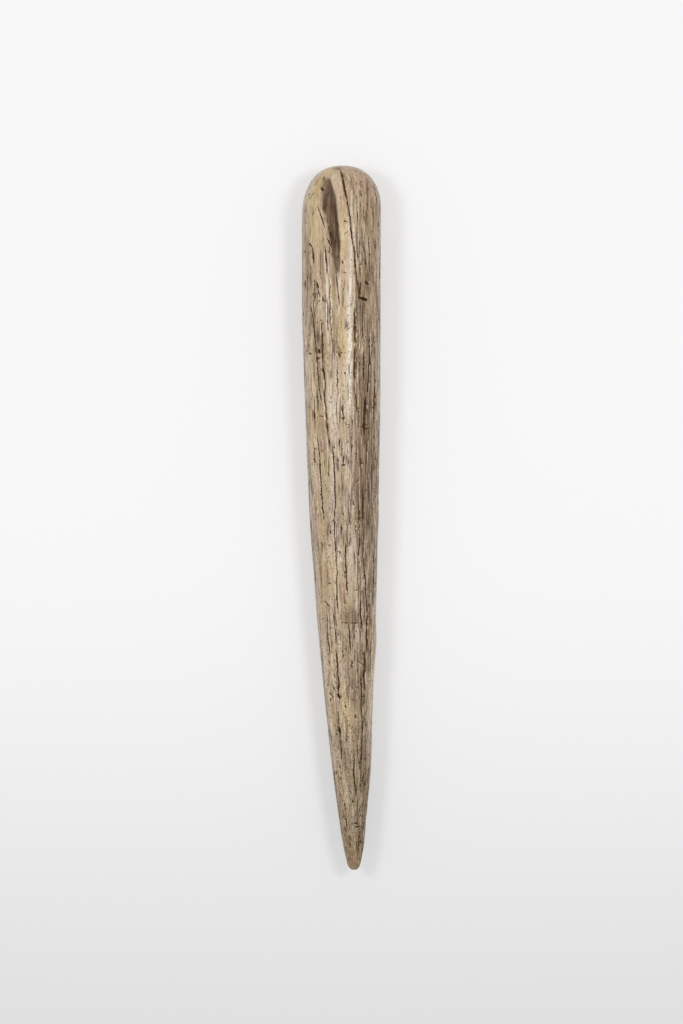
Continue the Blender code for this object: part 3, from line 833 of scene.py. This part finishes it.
def skin_mesh(surface):
    """A closed mesh: a quad for each cell of the grid, and a fan of triangles at either pole."""
    sunk = surface.points - outward(surface.points) * surface.depth[..., None]
    head = (axis_across(0.0), HEAD_END - surface.depth[0].mean(), axis_height(0.0))
    tip = (axis_across(LENGTH), HEAD_END - LENGTH + surface.depth[-1].mean(), axis_height(LENGTH))
    vertices = with_poles(sunk, head, tip)
    vertices[:, 2] = np.maximum(vertices[:, 2], bone_low[2])
    here = np.arange(RINGS * COLUMNS).reshape(RINGS, COLUMNS)
    beside = np.roll(here, -1, axis=1)
    quads = np.stack([here[:-1], here[1:], beside[1:], beside[:-1]], axis=-1).reshape(-1, 4)
    head_pole, tip_pole = RINGS * COLUMNS, RINGS * COLUMNS + 1
    head_fan = np.stack([np.full(COLUMNS, head_pole), here[0], beside[0]], axis=-1)
    tip_fan = np.stack([np.full(COLUMNS, tip_pole), beside[-1], here[-1]], axis=-1)
    faces = quads.tolist() + head_fan.tolist() + tip_fan.tolist()
    mesh = bpy.data.meshes.new("bone")
    mesh.from_pydata(vertices * MM, [], faces)
    mesh.shade_smooth()
    return mesh


def unroll(mesh):
    """A UV map that lays the skin flat: the turn runs across it and the rings run up it.

    Its corners come in the order of the faces, and a pole lies over or under the middle of each face.
    """
    turns = np.arange(COLUMNS + 1) / COLUMNS
    rises = 1.0 - np.arange(1, RINGS + 1) / (RINGS + 1)
    places = np.stack(np.meshgrid(turns, rises), axis=-1)
    left, right = places[:, :-1], places[:, 1:]
    quads = np.stack([left[:-1], left[1:], right[1:], right[:-1]], axis=2)
    middle = (turns[:-1] + turns[1:]) / 2
    head_pole = np.stack([middle, np.ones(COLUMNS)], axis=-1)
    tip_pole = np.stack([middle, np.zeros(COLUMNS)], axis=-1)
    head_fan = np.stack([head_pole, left[0], right[0]], axis=1)
    tip_fan = np.stack([tip_pole, right[-1], left[-1]], axis=1)
    corners = np.concatenate([faces.reshape(-1, 2) for faces in (quads, head_fan, tip_fan)])
    layer = mesh.uv_layers.new(name="OFBake")
    layer.uv.foreach_set("vector", corners.astype(np.float32).ravel())


def put(name, data):
    """A new object with this data, in the scene."""
    made = bpy.data.objects.new(name, data)
    bpy.context.scene.collection.objects.link(made)
    return made


def make_bone():
    """The whole bone as one object, with its marks and its grain kept as attributes of the points."""
    surface = Surface()
    wear_skin(surface)
    flatten_top(surface)
    carve_channel(surface)
    scatter_wear(surface)
    scatter_streaks(surface)
    rub_smooth(surface)
    spread_stains(surface)
    open_splits(surface)
    mesh = skin_mesh(surface)
    unroll(mesh)
    for name, mark in surface.marks.items():
        values = with_poles(mark, mark[0].mean(), mark[-1].mean())
        mesh.attributes.new(name, "FLOAT", "POINT").data.foreach_set("value", values.ravel())
    grain = with_poles(grain_places(surface), (0.0, 0.0, 0.0), (0.0, 0.0, LENGTH))
    mesh.attributes.new("grain", "FLOAT_VECTOR", "POINT").data.foreach_set("vector", grain.ravel())
    return put("bone", mesh)


def seen(red, green, blue):
    """A colour as the eye reads it, from 0 to 255, turned into the linear values that light uses."""
    encoded = np.array([red, green, blue]) / 255
    linear = np.where(encoded <= 0.04045, encoded / 12.92, ((encoded + 0.055) / 1.055) ** 2.4)
    return (*linear.tolist(), 1.0)


class Shade:
    """What a node gives, a number or a colour, so that a finish reads as a formula."""

    def __init__(self, finish, socket):
        self.finish = finish
        self.socket = socket

    def __add__(self, other):
        return self.finish.math("ADD", self, other)

    def __sub__(self, other):
        return self.finish.math("SUBTRACT", self, other)

    def __mul__(self, other):
        return self.finish.math("MULTIPLY", self, other)

    def __truediv__(self, other):
        return self.finish.math("DIVIDE", self, other)

    def __abs__(self):
        return self.finish.math("ABSOLUTE", self)

    def or_more(self, other):
        """The larger of the two."""
        return self.finish.math("MAXIMUM", self, other)

    def ease(self, low, high, most=1.0):
        """0 at low, most at high, eased between; high may be the lower of the two."""
        inputs = {"Value": self, "From Min": low, "From Max": high, "To Max": most}
        return self.finish.node("ShaderNodeMapRange", {"interpolation_type": "SMOOTHSTEP"}, inputs)


class Finish:
    """A material's nodes, made and linked one call at a time."""

    def __init__(self, name):
        self.material = bpy.data.materials.new(name)
        self.material.use_nodes = True
        self.tree = self.material.node_tree
        self.shader = self.tree.nodes["Principled BSDF"]

    def feed(self, node, inputs):
        """Feeds a node's inputs, by name or place: links a shade, or sets a value."""
        for name, value in dict(inputs).items():
            if isinstance(value, Shade):
                self.tree.links.new(value.socket, node.inputs[name])
            else:
                node.inputs[name].default_value = value

    def node(self, kind, settings=(), inputs=(), output=0):
        """What a new node with these settings and inputs gives."""
        made = self.tree.nodes.new(kind)
        for name, value in dict(settings).items():
            setattr(made, name, value)
        self.feed(made, inputs)
        return Shade(self, made.outputs[output])

    def math(self, operation, *terms):
        return self.node("ShaderNodeMath", {"operation": operation}, enumerate(terms))

    def mix(self, share, first, second):
        """The first colour where the share is 0 and the second where it is 1; its sockets go by place."""
        return self.node("ShaderNodeMix", {"data_type": "RGBA"}, {0: share, 6: first, 7: second}, 2)

    def mark(self, name, output="Fac"):
        """One of the bone's own attributes."""
        return self.node("ShaderNodeAttribute", {"attribute_name": name}, output=output)

    def part(self, vector, axis):
        """One axis of a vector."""
        return self.node("ShaderNodeSeparateXYZ", (), {"Vector": vector}, axis)

    def drawn_out(self, across, along, shift):
        """Places in the grain, counted in cells this wide and long in millimetres."""
        inputs = {
            "Vector": self.mark("grain", "Vector"),
            "Location": (shift, shift, shift),
            "Scale": (1.0 / across, 1.0 / across, 1.0 / along),
        }
        return self.node("ShaderNodeMapping", (), inputs)

    def fibres(self, across, along, detail, shift):
        """Noise drawn out along the grain: its blotches are about this wide and long."""
        inputs = {"Vector": self.drawn_out(across, along, shift), "Scale": 1.0, "Detail": detail}
        return self.node("ShaderNodeTexNoise", (), inputs)

    def pores(self, across, along, shift):
        """Distance, in cells, from the nearest of many scattered points."""
        inputs = {"Vector": self.drawn_out(across, along, shift), "Scale": 1.0}
        return self.node("ShaderNodeTexVoronoi", (), inputs, "Distance")


def weathered_bone():
    """Tan bone, clouded and streaked along its grain, with ochre and brown stains and dark splits.

    Each layer of colour is laid over the ones before it by its own share, which is worked out from the
    fibres, the pores and the skin's marks. The bone is more pitted towards the tip.
    """
    finish = Finish("weathered_bone")
    split, aside, gape = (finish.mark(name) for name in NO_LINE)
    brown, ochre, ruddy, bleached_and_lit, grey_and_sheen, dark, matt, worn = (finish.mark(name) for name in STAINS)
    from_head = finish.part(finish.mark("grain", "Vector"), "Z")
    pitted = from_head.ease(90.0, 190.0)
    near_head = from_head.ease(60.0, 20.0)
    cloud = finish.fibres(4.0, 20.0, 2.0, 0.0)
    yellow = finish.fibres(2.4, 12.0, 1.0, 3.0)
    pink = finish.fibres(1.9, 9.0, 1.0, 5.0)
    streak = finish.fibres(0.54, 10.0, 3.0, 7.0)
    group = finish.fibres(1.8, 8.0, 2.0, 37.0)
    fibre = finish.fibres(0.28, 4.0, 2.0, 13.0)
    strand = finish.fibres(0.55, 7.0, 2.0, 45.0)
    fleck = finish.fibres(0.34, 0.6, 2.0, 21.0)
    blotch = finish.fibres(0.9, 2.0, 3.0, 29.0)
    ragged = finish.fibres(0.35, 0.9, 2.0, 61.0)

    # Splits by the distance aside in half widths, made ragged, with pale lips that are painted highlights
    # along their edges
    apart = abs(aside + (ragged - 0.5) * 0.7) / gape
    crack = apart.ease(1.2, 0.5) * split.ease(0.03, 0.60)
    lip_highlight = apart.ease(2.4, 1.3) * split.ease(0.1, 0.6, 0.35)

    # Round pores that widen towards the tip, with pale rims that are painted highlights, and long ones
    pore = finish.pores(0.85, 1.2, 11.0) / (pitted * 0.20 + 0.03)
    rim_highlight = pore.ease(2.6, 1.4, 0.4) * from_head.ease(216.0, 205.0)
    pit = pore.ease(1.2, 0.8).or_more(finish.pores(0.9, 4.5, 17.0).ease(0.15, 0.09))

    streaked = streak.ease(0.50, 0.55) * (group + worn * 0.28).ease(0.56, 0.74, 0.90)
    streaked = streaked * (pitted + near_head).ease(2.4, 0.0)
    layers = (
        (yellow.ease(0.42, 0.62, 0.60), seen(191, 172, 121)),
        (pink.ease(0.42, 0.62, 0.70), seen(204, 171, 152)),
        ((pitted * 0.3 + 0.35) * blotch.ease(0.50, 0.62), seen(156, 128, 90)),
        (ochre * 0.8, seen(196, 166, 100)),
        # Pale patches and streaks, with the painted highlights along the ridges and the painted lighter -X
        # flank
        (bleached_and_lit * 0.9, seen(226, 210, 192)),
        # Grey patches, and the painted grey sheen of the flanks
        (grey_and_sheen * 0.7, seen(162, 145, 133)),
        (brown.ease(0.0, 1.3, 0.80), finish.mix(pitted, seen(119, 91, 62), seen(117, 94, 61))),
        (ruddy * 0.65, seen(164, 125, 92)),
        # Painted highlights on the lips of splits and the rims of pores
        (lip_highlight.or_more(rim_highlight), seen(228, 209, 178)),
        (strand.ease(0.54, 0.62, 0.5) * pitted.ease(3.0, 0.0), seen(224, 205, 176)),
        (fibre.ease(0.51, 0.57) * ((near_head * 0.05 + 0.60) * worn), seen(126, 97, 67)),
        (streaked, seen(100, 75, 49)),
        (fleck.ease(0.60, 0.66, 0.85) * near_head.ease(1.8, 0.0), seen(88, 65, 41)),
        (dark * 0.95, seen(98, 74, 55)),
        (dark * blotch.ease(0.50, 0.66, 0.35), seen(132, 107, 78)),
        (dark * streak.ease(0.34, 0.58) * 0.74, seen(56, 38, 27)),
        (pit * 0.95, seen(60, 44, 29)),
        (crack, finish.mix(pitted, seen(76, 54, 35), seen(70, 56, 37))),
        (crack * split.ease(0.6, 1.0), seen(50, 35, 24)),
    )
    colour = finish.mix(cloud.ease(0.36, 0.64), seen(180, 155, 117), seen(216, 194, 158))
    for share, tint in layers:
        colour = finish.mix(share, colour, tint)

    # Splits, the channel and matt patches lose their shine; splits, pits, flecks and fibres are sunk
    dulled = dark + matt
    sunk = fleck.ease(0.58, 0.70) + streaked * 0.6 + crack.or_more(pit) + fibre * 0.5
    bump = {"Strength": BUMP_STRENGTH, "Distance": BUMP_HEIGHT, "Height": sunk}
    coat = {
        "Base Color": colour,
        "IOR": BONE_IOR,
        "Specular IOR Level": crack.or_more(dulled * 0.7).ease(1.0, 0.0, BONE_SPECULAR),
        "Roughness": crack * 0.4 + streak.ease(0.4, 0.7, 0.10) + dulled * 0.25 + BONE_ROUGHNESS,
        "Normal": finish.node("ShaderNodeBump", {"invert": True}, bump),
    }
    finish.feed(finish.shader, coat)
    return finish.material


def pale_table():
    """A pale matt table, darker towards -Y as a painted shade of the light falling off: part of what the
    camera sees of it is its own even glow, so shadows stay light.
    """
    finish = Finish("pale_table")
    along = finish.part(finish.node("ShaderNodeTexCoord", output="Object"), "Y")
    colour = finish.mix(along.ease(*FLOOR_SHADE_FADE), FLOOR_SHADED_COLOUR, FLOOR_COLOUR)
    coat = {"Base Color": colour, "Roughness": FLOOR_ROUGHNESS, "Specular IOR Level": FLOOR_SPECULAR}
    finish.feed(finish.shader, coat)
    rays = ("Is Camera Ray", "Is Glossy Ray", "Is Transmission Ray")
    straight, glossy, through = (finish.node("ShaderNodeLightPath", output=ray) for ray in rays)
    watched = straight.or_more(glossy).or_more(through)
    own = Shade(finish, finish.shader.outputs[0])
    glow = finish.node("ShaderNodeEmission", (), {"Color": colour, "Strength": 1.0})
    both = finish.node("ShaderNodeMixShader", (), {0: watched * FLOOR_GLOW, 1: own, 2: glow})
    finish.feed(finish.tree.nodes["Material Output"], {"Surface": both})
    return finish.material


def make_floor():
    """A plain square table, wide enough to fill any view."""
    corners = np.array([(-1, -1, 0), (1, -1, 0), (1, 1, 0), (-1, 1, 0)]) * FLOOR_HALF_SIZE
    mesh = bpy.data.meshes.new("floor")
    mesh.from_pydata(corners, [], [(0, 1, 2, 3)])
    mesh.materials.append(pale_table())
    floor = put("floor", mesh)


def make_lamp(name, across):
    """A soft square lamp, high on one side and a little towards the head, turned down towards the middle.
    """
    lamp = bpy.data.lights.new(name, "AREA")
    lamp.energy = LAMP_POWER
    lamp.size = LAMP_SIZE
    made = put(name, lamp)
    made.location = (across, LAMP_ALONG, LAMP_HEIGHT)
    made.rotation_euler = (0.0, math.atan2(across, LAMP_HEIGHT), 0.0)


def light_room():
    """An even white room."""
    world = bpy.data.worlds.new("room")
    world.use_nodes = True
    background = world.node_tree.nodes["Background"]
    background.inputs["Color"].default_value = (1.0, 1.0, 1.0, 1.0)
    background.inputs["Strength"].default_value = ROOM_LIGHT
    bpy.context.scene.world = world


def make_camera():
    """A long lens straight above the table, with the head at the top of the picture."""
    lens = bpy.data.cameras.new("camera")
    lens.lens = CAMERA_LENS
    lens.sensor_width = CAMERA_SENSOR
    camera = put("camera", lens)
    distance = PICTURE_HEIGHT * CAMERA_LENS / CAMERA_SENSOR
    camera.location = (0.0, PICTURE_MIDDLE, OUTLINE_HEIGHT + distance)
    bpy.context.scene.camera = camera


def main():
    bone = make_bone()
    bone.data.materials.append(weathered_bone())
    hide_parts("bone_body")
    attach(bone, "root")
    make_floor()
    make_lamp("left_lamp", LEFT_LAMP_ACROSS)
    make_lamp("right_lamp", RIGHT_LAMP_ACROSS)
    light_room()
    make_camera()
    bpy.context.scene.view_settings.view_transform = "Standard"


main()
